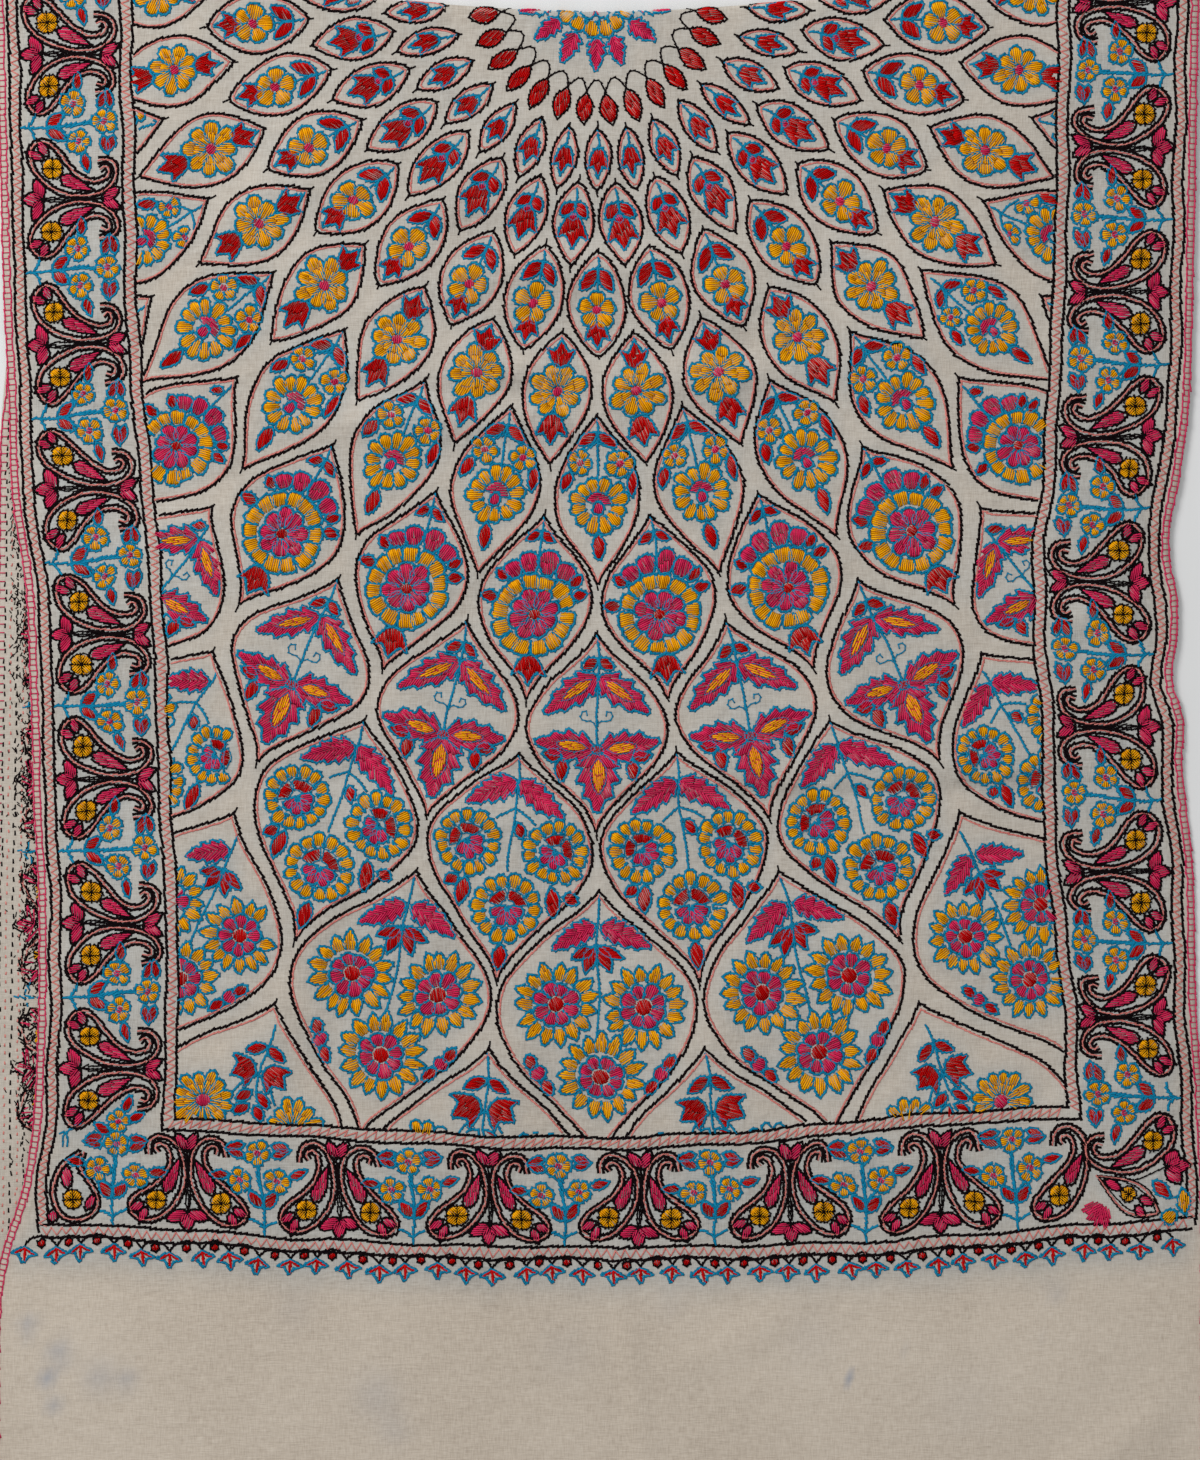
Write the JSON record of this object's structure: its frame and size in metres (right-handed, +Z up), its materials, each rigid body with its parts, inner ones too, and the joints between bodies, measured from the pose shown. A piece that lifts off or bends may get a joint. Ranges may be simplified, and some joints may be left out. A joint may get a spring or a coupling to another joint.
{
  "type": "folded embroidered stole",
  "caption": "Rectangular wool stole, folded once across its length and laid flat, with an embroidered medallion field, floral borders and plain ends.",
  "frame": {"origin": "the middle of the folded stole's box, on the surface it lies on", "axes": "+X across the cloth, +Y along it towards the fold, +Z up"},
  "size_m": [0.706, 1.0302, 0.0076],
  "materials": {
    "cloth": "matte undyed wool in a fine plain weave, right side",
    "cloth_wrong_side": "matte undyed wool, wrong side",
    "thread_black": "embroidery yarn, black",
    "thread_salmon": "embroidery yarn, salmon pink",
    "thread_crimson": "embroidery yarn, crimson",
    "thread_blue": "embroidery yarn, bright blue",
    "thread_yellow": "silky embroidery yarn, golden yellow",
    "thread_red": "silky embroidery yarn, scarlet",
    "thread_magenta": "silky embroidery yarn, raspberry"
  },
  "bodies": {
    "root": {"upper_half": "cloth", "under_half": "cloth_wrong_side"}
  },
  "joints": []
}
